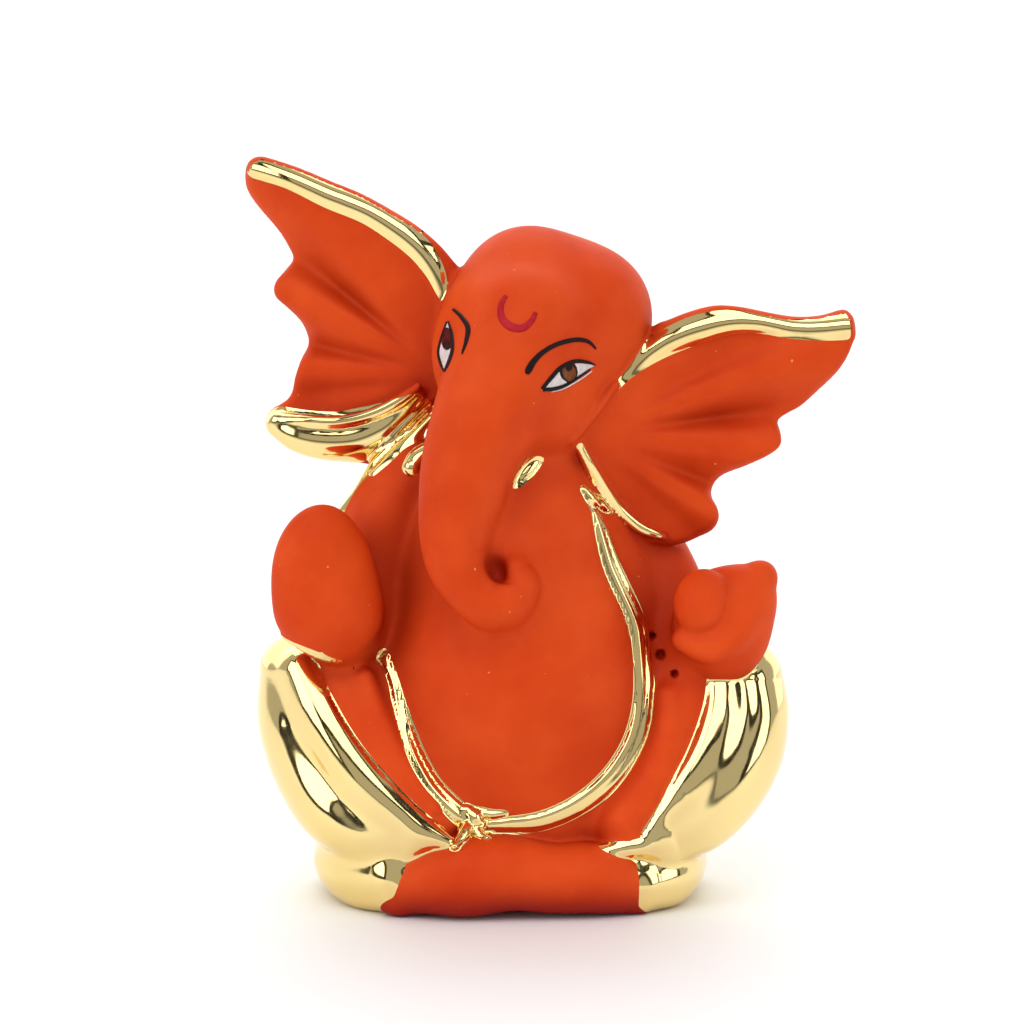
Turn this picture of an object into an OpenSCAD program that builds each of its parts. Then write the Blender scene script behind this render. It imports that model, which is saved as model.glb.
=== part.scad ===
// Seated elephant-headed devotional idol, press-moulded in ceramic parts that are luted together.
// Origin: centre of the underside. +Z is up and the figure faces -Y. Left and right are the figure's own.

/* [Body] */
// Half-width of the torso where it meets the seat
torso_w = 22; // [20:0.5:23]
// Half-depth of the torso where it meets the seat
torso_d = 14; // [13:0.5:15]
// Half-width of the belly
belly_w = 14.6; // [13.5:0.1:15.5]
// Wall of the hollow torso casting
wall = 3.2; // [2.4:0.2:4]
// Radius of the pour hole in the underside
pour_hole_r = 6; // [4:0.5:8]

/* [Head] */
// Half-width of the skull
skull_w = 12.2; // [11:0.1:13]
// Height of the skull's centre above the underside
skull_z = 68; // [66:0.5:69]
// Radius of each tusk stub
tusk_r = 1.0; // [0.8:0.1:1.2]

/* [Ears] */
// Thickness of each of an ear's two layers
ear_layer = 1.3; // [1:0.1:1.6]
// How far an ear's surface moves forward for each millimetre to the figure's left
ear_sweep = 0.18; // [0.1:0.02:0.24]
// Height of the folds that fan out over an ear
ear_fold = 0.9; // [0.4:0.1:1.2]

/* [Base] */
// Radius of the felt pad in the underside
pad_r = 12; // [10:0.5:12.5]
// Thickness of the felt pad
pad_t = 1.2; // [0.8:0.1:1.6]
// Thickness of the painted marks on the face
paint_t = 0.15; // [0.12:0.01:0.2]

/* [Hidden] */

body_split_y = 3;    // the body's front and back halves meet here
head_split_y = 5;    // the head's front and back halves meet here
big = 200;

// Stations are [x, y, z, half-width, half-depth] along a limb's centre line.
torso_line = [
    [0, 0.5, -4, torso_w - 2.5, torso_d], [0, 0.5, 4, torso_w - 1.5, torso_d + 0.5],
    [0, 0.5, 10, torso_w, torso_d + 1],
    [0.5, 0.5, 18, torso_w + 2, 16.2], [1, 1, 27, torso_w + 0.5, 15], [1, 1, 37, 17.5, 12.6],
    [1.5, 1.5, 46, 12.5, 10], [2, 1.5, 54, 8.5, 8.5]];
trunk_line = [
    [-1.4, -8, 61.8, 8.6, 7.5], [-4.1, -11.5, 56.8, 7.2, 6.6], [-6, -14, 51.2, 5.4, 5.4],
    [-6.8, -16, 45.5, 4.1, 4.2], [-5.9, -17.2, 40.5, 3.6, 3.6], [-2.6, -17.8, 37.6, 3.1, 3.1],
    [0.6, -18, 38.7, 2.8, 2.8], [1.4, -17.8, 41, 2.6, 2.6], [0, -17.4, 42.7, 2.2, 2.2]];
arm_right_line = [
    [-10.5, 1.8, 49, 4.7, 4.6], [-14.5, 1, 45.6, 5.2, 5], [-18.6, -1, 37, 4.8, 4.8],
    [-20.2, -6, 31.5, 4.4, 4.4]];
arm_left_line = [
    [10, 3, 49, 5.2, 5], [16.6, 2.6, 43, 4.8, 4.8], [20.5, 0, 34, 4.6, 4.6], [23, -5, 29.5, 4.2, 4.2]];
hand_right_line = [
    [-20.6, -9, 30.8, 4.6, 4], [-21.8, -10.5, 35.8, 6.4, 4.6],
    [-22.6, -11, 40.8, 6.6, 4.4], [-23, -10.5, 45.4, 4.9, 3.5]];
fingers_left_line = [[26.2, -9.5, 33.5, 4.2, 3.8], [28, -9.2, 37, 3.6, 3.2], [29.5, -9, 39.4, 2.4, 2.4]];
leg_right_line = [
    [-25.4, -4, 26.6, 4.2, 5], [-25.4, -5, 22.8, 5, 6.2], [-23.2, -6.5, 16.8, 6.1, 7],
    [-19.2, -8, 11, 6.6, 7], [-15, -10, 7.4, 5, 5.6], [-10, -12.5, 6.6, 2.8, 3.4]];
leg_left_line = [
    [27.6, -4, 26.4, 4.6, 5], [27.2, -5, 22, 5.7, 6.4], [25.8, -6, 16.6, 6.1, 7],
    [22.8, -7, 12, 5.8, 6.8], [19.6, -8.5, 8.2, 4.8, 5.6], [16, -11.5, 6.8, 3, 3.6]];
shin_right_line = [[-20.2, 4, 3.4, 3.6, 4], [-19.6, -4, 3.4, 4.2, 4], [-15.5, -11, 3.4, 4.6, 4]];
shin_left_line = [[19.6, 4, 3.4, 3.6, 4], [18.8, -4, 3.4, 4.2, 4], [15.8, -10.8, 3.4, 4.4, 4]];
foot_right_line = [[-12.6, -12.6, 3.4, 4.6, 4.4], [-5, -14, 3.8, 4.3, 4.6], [2.5, -14.6, 3.4, 3.8, 4.4]];
foot_left_line = [[14.3, -12, 3.5, 4.3, 4.2], [8, -13.6, 3.7, 4.2, 4.6], [2, -13.9, 3.6, 3.5, 4.4]];
stole_left_line = [
    [8.6, -7, 52.5, 0.7, 0.7], [10.4, -9, 45, 1.2, 1], [12.2, -9.6, 40, 1.1, 1], [14.6, -10.4, 34, 1.1, 1],
    [16.1, -11.2, 28, 1.3, 1.1], [16.2, -12, 23, 1.4, 1.1], [14.6, -13.2, 17.8, 1.4, 1.1],
    [10.4, -14.8, 13.2, 1.3, 1.1], [5.6, -16.2, 10.2, 1.1, 1], [0.8, -16.8, 8.8, 0.9, 0.9],
    [-2.6, -17, 8.6, 0.8, 0.8]];
stole_right_line = [
    [-14.8, -9.4, 29.8, 0.3, 0.4], [-13.6, -11.2, 24.4, 0.7, 0.7], [-11.2, -13.4, 18.6, 1.4, 0.9],
    [-8, -15.2, 13.6, 1.5, 1], [-5.4, -16.6, 10.2, 1.2, 0.9]];
shawl_line = [
    [-9.5, -1, 60, 1.6, 1.4], [-13.4, 0, 54.8, 1.7, 1.6], [-17.8, 1, 49, 1.4, 1.5],
    [-20.6, 1.5, 45.6, 0.9, 1.2]];

// Ear outlines are [x, z]; the root is inside the head.
ear_left_outline = [
    [6, 52], [8, 60], [14, 68.5], [20, 70.2], [26.5, 70.8], [33, 70.2], [39.6, 71], [41, 69.2],
    [40, 65.2], [36.4, 60.6], [31.9, 58.2], [32.2, 55.8], [30, 53.4], [25.4, 51.2], [24, 49.2],
    [24.8, 46.4], [22.8, 43.8], [18, 42.6], [14.8, 43.4], [11.2, 47.4]];
ear_left_hub = [10, 57];
ear_left_lean = -1.4;
ear_right_outline = [
    [-4, 58], [-9, 53], [-16.2, 51], [-21.6, 51.4], [-27, 52.8], [-29.2, 54.8], [-28.8, 56.6],
    [-26.8, 59.2], [-26.2, 62.4], [-24.8, 65.2], [-25.1, 67.2], [-27.2, 70], [-28.7, 72.4],
    [-26.9, 75], [-27.7, 77.4], [-30.2, 80.4], [-32, 84.4], [-31.8, 87], [-29.8, 88.3],
    [-26, 87], [-22, 85.4], [-17.9, 83.4], [-14.5, 81.6], [-11.3, 79.6], [-7.8, 75.8], [-3, 71]];
ear_right_hub = [-6, 64];
ear_right_lean = 1.2;
ear_left_top_line = [
    [10, 64], [13.6, 67.6], [18, 69.2], [23, 70], [28, 69.8], [33.4, 69], [39.2, 69.4]];
ear_left_low_line = [[9.4, 56], [11.8, 51.6], [14.2, 47.4], [17, 44.4], [19.4, 43.6]];
ear_right_top_line = [
    [-30.2, 87], [-25, 85.2], [-19.2, 82.4], [-13.8, 79.4], [-10.2, 75.6], [-8.4, 71.6], [-7.8, 68]];
ear_left_top_r = [0.9, 1.2, 1.3, 1.4, 1.3, 1.3, 1.6];
ear_left_low_r = [0.7, 0.8, 0.9, 0.9, 0.6];
ear_right_top_r = [1.2, 1.2, 1.3, 1.5, 1.4, 1.2, 0.7];
ear_right_low_r = [1.6, 2, 2, 1.5, 0.8];
ear_right_low_line = [[-28.4, 55], [-24.6, 53.6], [-20, 53.4], [-15.4, 54.6], [-11.4, 57.6]];

function unit(v) = v / norm(v);
function spline_at(a, b, c, d, t) =
    0.5 * (2 * b + (c - a) * t + (2 * a - 5 * b + 4 * c - d) * t * t + (3 * b - a - 3 * c + d) * t * t * t);
function smoothed(p, n) = [
    for (i = [0:len(p) - 2], k = [0:n - 1])
        spline_at(p[max(i - 1, 0)], p[i], p[i + 1], p[min(i + 2, len(p) - 1)], k / n),
    p[len(p) - 1]];
function closed_smooth(p, n) = let (m = len(p)) [
    for (i = [0:m - 1], k = [0:n - 1])
        spline_at(p[(i + m - 1) % m], p[i], p[(i + 1) % m], p[(i + 2) % m], k / n)];
function place(row) = [row[0], row[1], row[2]];
function heading(rows, i) =
    unit(place(rows[min(i + 1, len(rows) - 1)]) - place(rows[max(i - 1, 0)]));
function ring(centre, along, a, b, facing, sides) =
    let (side = unit(cross(along, facing)), up = cross(side, along))
    [for (k = [0:sides - 1]) centre + a * cos(k * 360 / sides) * side + b * sin(k * 360 / sides) * up];

// A rounded limb along smoothed stations, with domed ends.
module limb(line, steps = 2, sides = 16, facing = [0, 1, 0], grow = 0) {
    rows = smoothed(line, steps);
    last = len(rows) - 1;
    domes = [78, 52, 26];
    function dome(i, sign, f) =
        let (r = rows[i], t = heading(rows, i), reach = min(r[3], r[4]) + grow)
        ring(place(r) + sign * reach * sin(f) * t, t,
            (r[3] + grow) * cos(f), (r[4] + grow) * cos(f), facing, sides);
    rings = [
        for (f = domes) dome(0, -1, f),
        for (i = [0:last])
            ring(place(rows[i]), heading(rows, i), rows[i][3] + grow, rows[i][4] + grow, facing, sides),
        for (f = [26, 52, 78]) dome(last, 1, f)];
    tube(rings, sides);
}

// Joins rings of points, in order, into one closed solid.
module tube(rings, sides) {
    n = len(rings);
    polyhedron(
        points = [for (r = rings) each r],
        faces = [
            [for (k = [sides - 1:-1:0]) k],
            for (i = [0:n - 2], k = [0:sides - 1])
                let (a = i * sides, b = a + sides, next = (k + 1) % sides)
                [a + k, a + next, b + next, b + k],
            [for (k = [0:sides - 1]) (n - 1) * sides + k]]);
}

module blob(centre, radii, turn = [0, 0, 0], grow = 0) {
    translate(centre) rotate(turn) scale(radii + [grow, grow, grow]) sphere(1, $fn = 20);
}

// Turns a cut or joined piece into one mesh.
module one_mesh() { resize([0, 0, 0]) children(); }

// Keeps what stands on the table.
module above_table() intersection() {
    children();
    translate([-big / 2, -big / 2, 0]) cube(big);
}

module in_front(y) { translate([-big / 2, y - big, -big / 2]) cube(big); }
module behind(y) { translate([-big / 2, y, -big / 2]) cube(big); }

// Surface of an ear's middle, in y, over x and z.
function ear_y(x, z, hub, lean) =
    let (reach = norm([x - hub[0], z - hub[1]]), turn = atan2(z - hub[1], x - hub[0]))
    lean - ear_sweep * x + 0.0022 * reach * reach + ear_fold * min(reach / 14, 1) * sin(turn * 9);

// One layer of an ear: side -1 is the front, 1 the back.
module ear_layer(outline, hub, lean, side) {
    edge = closed_smooth(outline, 2);
    m = len(edge);
    shares = [0.06, 0.4, 0.72, 0.93, 1];
    depth = [1, 1, 1, 0.8, 0.35];
    function spot(i, k) =
        let (p = hub + shares[i] * (edge[k] - hub)) [p[0], ear_y(p[0], p[1], hub, lean), p[1]];
    faces_out = [for (i = [0:4]) [for (k = [0:m - 1]) spot(i, k) + [0, side * ear_layer * depth[i], 0]]];
    faces_in = [for (i = [4:-1:0]) [for (k = [0:m - 1]) spot(i, k)]];
    rings = concat(faces_out, faces_in);
    tube(side > 0 ? rings : [for (r = rings) [for (k = [m - 1:-1:0]) r[k]]], m);
}

module rim(line, hub, lean, radii, sides = 8) {
    rows = [for (i = [0:len(line) - 1])
        [line[i][0], ear_y(line[i][0], line[i][1], hub, lean) - ear_layer - 0.1, line[i][1], radii[i], 0.85]];
    limb(rows, 2, sides);
}

module torso_solid() {
    limb(torso_line, 2, 28);
    blob([1, -4.4, 24.6], [belly_w, 13.4, 17]);
    blob([0.5, -2.4, 40], [12, 10.4, 13.5]);
}
module head_solid(grow = 0) {
    blob([4, 0, skull_z], [skull_w, 12.4, 12], [0, 0, 0], grow);
    blob([0.6, -2, 74.2], [6.6, 7, 6.4], [0, 0, 0], grow);
    blob([10.2, 1, 71.6], [6.2, 7, 6.2], [0, 0, 0], grow);
    blob([-1, -5.4, 62], [8.6, 8, 9.5], [0, 12, 0], grow);
    blob([6.6, -3, 57.4], [7.4, 7.4, 7.4], [0, 0, 0], grow);
}
module tusk_solid(a, b) limb([
    [each a, tusk_r, tusk_r],
    [each (a + b) / 2, tusk_r, tusk_r],
    [each b, tusk_r * 0.7, tusk_r * 0.7]], 1, 8);
module trunk_solid() limb(trunk_line, 2, 14);
module arm_right_solid() limb(arm_right_line, 2, 14);
module arm_left_solid() limb(arm_left_line, 2, 14);
module hand_right_solid() limb(hand_right_line, 2, 18);
module hand_left_solid() {
    blob([24.6, -9.5, 33], [6, 4.6, 5.2]);
    blob([22.6, -11.4, 36], [4, 3.6, 4.6], [0, -8, 0]);
    limb(fingers_left_line, 2, 12);
}
module leg_right_solid() limb(leg_right_line, 2, 16);
module leg_left_solid() limb(leg_left_line, 2, 16);
module foot_right_solid() limb(foot_right_line, 2, 14, [0, 0, 1]);
module foot_left_solid() limb(foot_left_line, 2, 14, [0, 0, 1]);
module knot_solid() blob([-4, -17.4, 8.8], [1.9, 1.5, 1.5]);
module shawl_solid() limb(shawl_line, 2, 10);

module cavity() {
    limb([
        [0, 0, 8, torso_w - wall - 4, torso_d - wall - 2], [0, 0.5, 18, 20.5 - wall, 15 - wall],
        [0.5, 1, 28, 18 - wall, 14.2 - wall], [1, 1, 38, 15 - wall, 12.2 - wall]], 1, 16);
    translate([0, 0, -1]) cylinder(r = pour_hole_r, h = 13, $fn = 32);
}

// The torso is whole; each later piece is cut to lie against those before it.
module body_shell() difference() {
    above_table() torso_solid();
    cavity();
    translate([0, 0, -1]) cylinder(r = pad_r, h = pad_t + 1, $fn = 48);
}
module body_front() color("orangered") one_mesh() intersection() { body_shell(); in_front(body_split_y); }
module body_back() color("gold") one_mesh() intersection() { body_shell(); behind(body_split_y); }

module head_shell() difference() { head_solid(); torso_solid(); }
module head_front() color("orangered") one_mesh() intersection() { head_shell(); in_front(head_split_y); }
module head_back() color("gold") one_mesh() intersection() { head_shell(); behind(head_split_y); }
module trunk() color("orangered") one_mesh() difference() { trunk_solid(); head_solid(); torso_solid(); }
module tusk(a, b) color("gold") one_mesh() difference() {
    tusk_solid(a, b);
    head_solid();
    trunk_solid();
    torso_solid();
}
module tusk_left() tusk([3.6, -9, 55], [0.6, -15, 51.2]);
module tusk_right() tusk([-7.6, -7, 55.4], [-12.6, -10.4, 51.6]);

module arm_left() color("orangered") one_mesh() difference() {
    arm_left_solid();
    torso_solid();
    head_solid();
}
module arm_right() color("orangered") one_mesh() difference() {
    arm_right_solid();
    torso_solid();
    head_solid();
}
module hand_left() color("orangered") one_mesh() difference() {
    hand_left_solid();
    arm_left_solid();
    torso_solid();
}
module hand_right() color("orangered") one_mesh() difference() {
    hand_right_solid();
    arm_right_solid();
    torso_solid();
}

module ear(outline, hub, lean, side) one_mesh() difference() {
    ear_layer(outline, hub, lean, side);
    children();
    head_solid();
    torso_solid();
    arm_right_solid();
    arm_left_solid();
}
module ear_rims(top, top_r, low, low_r, hub, lean) {
    rim(top, hub, lean, top_r);
    rim(low, hub, lean, low_r);
}
module ear_left(side) ear(ear_left_outline, ear_left_hub, ear_left_lean, side)
    ear_rims(
        ear_left_top_line, ear_left_top_r, ear_left_low_line, ear_left_low_r, ear_left_hub, ear_left_lean);
module ear_right(side) ear(ear_right_outline, ear_right_hub, ear_right_lean, side)
    ear_rims(
        ear_right_top_line, ear_right_top_r, ear_right_low_line, ear_right_low_r,
        ear_right_hub, ear_right_lean);
module ear_left_front() color("orangered") ear_left(-1);
module ear_left_back() color("gold") ear_left(1);
module ear_right_front() color("orangered") ear_right(-1);
module ear_right_back() color("gold") ear_right(1);
module cut_rim(line, hub, lean, radii) color("gold") one_mesh() difference() {
    rim(line, hub, lean, radii);
    head_solid();
    torso_solid();
    arm_right_solid();
    arm_left_solid();
}
module ear_left_top_rim() cut_rim(ear_left_top_line, ear_left_hub, ear_left_lean, ear_left_top_r);
module ear_left_lower_rim() cut_rim(ear_left_low_line, ear_left_hub, ear_left_lean, ear_left_low_r);
module ear_right_top_rim() cut_rim(ear_right_top_line, ear_right_hub, ear_right_lean, ear_right_top_r);
module ear_right_lower_rim() cut_rim(ear_right_low_line, ear_right_hub, ear_right_lean, ear_right_low_r);

module leg_left() color("gold") one_mesh() difference() {
    above_table() leg_left_solid();
    torso_solid();
    arm_left_solid();
    hand_left_solid();
}
module leg_right() color("gold") one_mesh() difference() {
    above_table() leg_right_solid();
    torso_solid();
    arm_right_solid();
    hand_right_solid();
}
module foot_right() color("orangered") one_mesh() difference() {
    above_table() foot_right_solid();
    torso_solid();
    leg_right_solid();
}
module foot_left() color("orangered") one_mesh() difference() {
    above_table() foot_left_solid();
    foot_right_solid();
    torso_solid();
    leg_left_solid();
}
module shin_left() color("gold") one_mesh() difference() {
    above_table() limb(shin_left_line, 2, 12, [0, 0, 1]);
    leg_left_solid();
    torso_solid();
    foot_left_solid();
}
module shin_right() color("gold") one_mesh() difference() {
    above_table() limb(shin_right_line, 2, 12, [0, 0, 1]);
    leg_right_solid();
    torso_solid();
    foot_right_solid();
}
module stole_knot() color("gold") one_mesh() difference() {
    knot_solid();
    torso_solid();
    foot_right_solid();
    foot_left_solid();
}
module stole_left() color("gold") one_mesh() difference() {
    limb(stole_left_line, 2, 8);
    knot_solid();
    torso_solid();
    trunk_solid();
    head_solid();
}
module stole_right() color("gold") one_mesh() difference() {
    limb(stole_right_line, 2, 8);
    knot_solid();
    torso_solid();
    hand_right_solid();
    leg_right_solid();
}
module shoulder_shawl() color("gold") one_mesh() difference() {
    shawl_solid();
    torso_solid();
    head_solid();
    arm_right_solid();
}
// A thin coat on the head's surface, over a 2D outline that is seen along a direction.
module painted(at, turn) {
    one_mesh() difference() {
        intersection() {
            head_solid(paint_t);
            translate(at) rotate(turn) linear_extrude(14, center = true) children();
        }
        head_solid();
        trunk_solid();
    }
}
module oval(a, b) scale([a, b]) circle(1, $fn = 20);
module crescent(r, w) difference() {
    circle(r, $fn = 20);
    translate([0, -w]) circle(r, $fn = 20);
}
module tilak() color("crimson") painted([0.8, -10, 70.6], [90, 0, 0]) rotate(165) crescent(2, 1.1);
module eye_left() color("white") painted([6.7, -10, 64.6], [90, 0, 0]) rotate(24) oval(3.1, 1.3);
module eye_right() color("white") painted([-8.4, -4, 67], [90, 0, -62]) rotate(-40) oval(3.1, 1.3);
module brow_left() color("black") painted([6.2, -10, 67.4], [90, 0, 0]) rotate(10) crescent(3.8, 0.6);
module brow_right() color("black") painted([-6.4, -8, 69.6], [90, 0, -40]) rotate(-40) crescent(3.2, 0.6);
module base_pad() color("darkred") cylinder(r = pad_r - 0.1, h = pad_t, $fn = 48);

body_front();
body_back();
head_front();
head_back();
trunk();
tusk_left();
tusk_right();
ear_left_front();
ear_left_back();
ear_right_front();
ear_right_back();
ear_left_top_rim();
ear_left_lower_rim();
ear_right_top_rim();
ear_right_lower_rim();
arm_left();
arm_right();
hand_left();
hand_right();
leg_left();
leg_right();
shin_left();
shin_right();
foot_left();
foot_right();
stole_left();
stole_right();
stole_knot();
shoulder_shawl();
tilak();
eye_left();
eye_right();
brow_left();
brow_right();
base_pad();
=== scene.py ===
import math

import bpy
import numpy as np
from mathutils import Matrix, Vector


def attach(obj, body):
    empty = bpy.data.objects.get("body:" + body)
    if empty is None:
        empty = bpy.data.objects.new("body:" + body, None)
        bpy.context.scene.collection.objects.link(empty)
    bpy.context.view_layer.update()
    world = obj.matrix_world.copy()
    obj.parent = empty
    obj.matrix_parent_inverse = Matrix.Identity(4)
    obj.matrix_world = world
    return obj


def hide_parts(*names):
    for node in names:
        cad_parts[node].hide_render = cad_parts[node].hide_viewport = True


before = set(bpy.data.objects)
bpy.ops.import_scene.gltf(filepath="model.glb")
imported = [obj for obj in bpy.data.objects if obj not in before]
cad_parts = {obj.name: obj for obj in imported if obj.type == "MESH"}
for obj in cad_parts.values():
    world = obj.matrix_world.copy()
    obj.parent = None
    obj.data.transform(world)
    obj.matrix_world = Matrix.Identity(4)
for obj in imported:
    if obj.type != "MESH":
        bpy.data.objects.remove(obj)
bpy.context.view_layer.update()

STEP = 0.36  # spacing of the sculpt's grid, mm
MM = 0.001
FAR = 6.0  # distances beyond this are not worked out, mm
CHUNK = 200000  # points handled at a time
RATIO = 4  # of the sculpt's coarse grid to its fine one

# ---------------------------------------------------------------- where the figure is seen from
# Shapes are laid out in millimetres as seen from the front: h across, v up, y in depth.

TILT = math.radians(10)
DISTANCE = 600.0
AIM = np.array([0.0, 0.0, 45.9])
AIM_V = 45.24
FORWARD = np.array([0, math.cos(TILT), -math.sin(TILT)])
UPWARD = np.array([0, math.sin(TILT), math.cos(TILT)])
EYE = AIM - FORWARD * DISTANCE


def seen(h, v, y):
    """The point at depth y that is seen at (h, v)."""
    return seen_all(np.float64(h), np.float64(v), y)


def seen_all(h, v, y):
    p = AIM + np.stack([h, np.zeros_like(h), np.zeros_like(h)], -1) + (v - AIM_V)[..., None] * UPWARD
    ray = p - EYE
    return EYE + ray * ((y - EYE[1]) / ray[..., 1])[..., None]


def front(P):
    """The (h, v) at which each point is seen."""
    q = P - EYE.astype(P.dtype)
    depth = q @ FORWARD.astype(P.dtype)
    return DISTANCE * q[:, 0] / depth, AIM_V + DISTANCE * (q @ UPWARD.astype(P.dtype)) / depth


# ---------------------------------------------------------------- shapes as distances


def smin(a, b, k):
    """The smaller of two distances, rounded off where they are within 1.5 k of each other."""
    m = np.minimum(a, b)
    if k <= 0:
        return m
    k = k * 1.5
    h = np.maximum(k - np.abs(a - b), 0) / k
    return m - h * h * h * k / 6


def smax(a, b, k):
    return -smin(-a, -b, k)


def curve_coefficients(points):
    p = np.array(points, float)
    out = []
    for i in range(len(p) - 1):
        a, b, c, d = p[max(i - 1, 0)], p[i], p[i + 1], p[min(i + 2, len(p) - 1)]
        out.append([b, (c - a) / 2, a - 2.5 * b + 2 * c - d / 2, (3 * b - a - 3 * c + d) / 2])
    return np.array(out)


def curve_points(points, n, closed=False):
    p = [list(q) for q in points]
    if closed:
        p = [p[-1]] + p + [p[0], p[1]]
    co = curve_coefficients(p)
    if closed:
        co = co[1:-1]
    t = np.arange(n) / n
    out = np.concatenate([c[0] + t[:, None] * (c[1] + t[:, None] * (c[2] + t[:, None] * c[3])) for c in co])
    return out if closed else np.vstack([out, p[-1]])


class Tube:
    """A limb of changing radius along a smooth line of (h, v, y, radius); flat scales its depth."""

    def __init__(self, stations, flat=1.0):
        rows = np.array([[*seen(h, v, y), r] for h, v, y, r in stations])
        self.lo = (rows[:, :3] - rows[:, 3:] * np.array([1, max(flat, 1), 1])).min(0) - 0.5
        self.hi = (rows[:, :3] + rows[:, 3:] * np.array([1, max(flat, 1), 1])).max(0) + 0.5
        self.flat = flat
        rows[:, 1] /= flat
        self.co = curve_coefficients(rows).astype(np.float32)
        n = 6
        u = np.arange(0, len(self.co) * n + 1) / n
        self.u = u.astype(np.float32)
        self.samples = self.at(self.u)[0][:, :3]

    def at(self, u):
        i = np.minimum(u.astype(np.int32), len(self.co) - 1)
        t = (u - i)[:, None]
        c = self.co[i]
        c3, c2, c1, c0 = c[:, 3], c[:, 2], c[:, 1], c[:, 0]
        return ((c3 * t + c2) * t + c1) * t + c0, (3 * c3 * t + 2 * c2) * t + c1, 6 * c3 * t + 2 * c2

    def __call__(self, P):
        Q = (P * np.array([1, 1 / self.flat, 1], np.float32)).astype(np.float32)
        S = self.samples
        near = (S * S).sum(1) - 2 * (Q @ S.T)
        u = self.u[near.argmin(1)]
        top = np.float32(len(self.co))
        for _ in range(3):
            C, C1, C2 = self.at(u)
            e = Q - C[:, :3]
            d1 = (C1[:, :3] ** 2).sum(1)
            den = np.maximum(d1 - (e * C2[:, :3]).sum(1), 0.3 * d1) + 1e-6
            u = np.clip(u + (e * C1[:, :3]).sum(1) / den, 0, top)
        C = self.at(u)[0]
        e = Q - C[:, :3]
        return (np.sqrt((e * e).sum(1)) - C[:, 3]) * min(1.0, self.flat)


def turn(rx, ry, rz):
    out = np.eye(3)
    for axis, angle in enumerate((rx, ry, rz)):
        c, s = math.cos(math.radians(angle)), math.sin(math.radians(angle))
        i, j = [(1, 2), (2, 0), (0, 1)][axis]
        m = np.eye(3)
        m[i, i] = m[j, j] = c
        m[i, j], m[j, i] = -s, s
        out = m @ out
    return out


class Blob:
    """An ellipsoid."""

    def __init__(self, h, v, y, radii, angles=(0, 0, 0)):
        self.c = seen(h, v, y).astype(np.float32)
        self.m = turn(*angles).astype(np.float32)
        self.r = np.array(radii, np.float32)
        reach = np.abs(self.m) @ self.r
        self.lo, self.hi = self.c - reach - 0.3, self.c + reach + 0.3

    def __call__(self, P):
        q = (P - self.c) @ self.m
        k0 = np.sqrt(((q / self.r) ** 2).sum(1))
        k1 = np.sqrt(((q / self.r**2) ** 2).sum(1))
        return k0 * (k0 - 1) / np.maximum(k1, 1e-5)


class Loft:
    """An upright body of elliptical sections: rows of (height, half-width, half-depth, x, y)."""

    def __init__(self, rows):
        z = np.arange(rows[0][0], rows[-1][0], 0.05)
        fine = curve_points(rows, 24)
        self.z = z
        self.cols = [np.interp(z, fine[:, 0], fine[:, i]) for i in range(1, 5)]
        for _ in range(3):
            self.cols = [np.convolve(np.pad(c, 20, "edge"), np.ones(41) / 41, "valid") for c in self.cols]
        a, b, x, y = self.cols
        self.lo = np.array([(x - a).min(), (y - b).min(), z[0]])
        self.hi = np.array([(x + a).max(), (y + b).max(), z[-1]])

    def __call__(self, P):
        a, b, x, y = [np.interp(P[:, 2], self.z, c).astype(np.float32) for c in self.cols]
        px, py = P[:, 0] - x, P[:, 1] - y
        k0 = np.sqrt((px / a) ** 2 + (py / b) ** 2)
        k1 = np.sqrt((px / a**2) ** 2 + (py / b**2) ** 2)
        d = k0 * (k0 - 1) / np.maximum(k1, 1e-5) * 0.94
        return smax(d, P[:, 2] - np.float32(self.hi[2] - 1), 3.0)


def outline_distance(H, V, outline):
    """Signed distance to a closed outline, over a grid."""
    d2 = np.full(H.shape, 1e9)
    inside = np.zeros(H.shape, bool)
    for a, b in zip(outline, np.roll(outline, -1, 0)):
        e = b - a
        wx, wy = H - a[0], V - a[1]
        t = np.clip((wx * e[0] + wy * e[1]) / (e @ e + 1e-12), 0, 1)
        d2 = np.minimum(d2, (wx - e[0] * t) ** 2 + (wy - e[1] * t) ** 2)
        if a[1] != b[1]:
            crosses = (V > a[1]) != (V > b[1])
            inside ^= crosses & (H < (b[0] - a[0]) * (V - a[1]) / (b[1] - a[1]) + a[0])
    return np.where(inside, -1, 1) * np.sqrt(d2)


def band_distance(H, V, line):
    """Signed distance to a band of changing half-width: rows of (h, v, half-width)."""
    p = curve_points(line, 10)
    d = np.full(H.shape, 1e9)
    for a, b in zip(p[:-1], p[1:]):
        e = b[:2] - a[:2]
        t = np.clip(((H - a[0]) * e[0] + (V - a[1]) * e[1]) / (e @ e + 1e-12), 0, 1)
        reach = np.hypot(H - a[0] - e[0] * t, V - a[1] - e[1] * t)
        d = np.minimum(d, reach - (a[2] + (b[2] - a[2]) * t))
    return d


def blurred(g, n):
    w = np.ones(n) / n
    for _ in range(2):
        for axis in (0, 1):
            pad = [(0, 0), (0, 0)]
            pad[axis] = (n // 2, n // 2)
            g = np.apply_along_axis(lambda c: np.convolve(c, w, "valid"), axis, np.pad(g, pad, "edge"))
    return g


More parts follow.
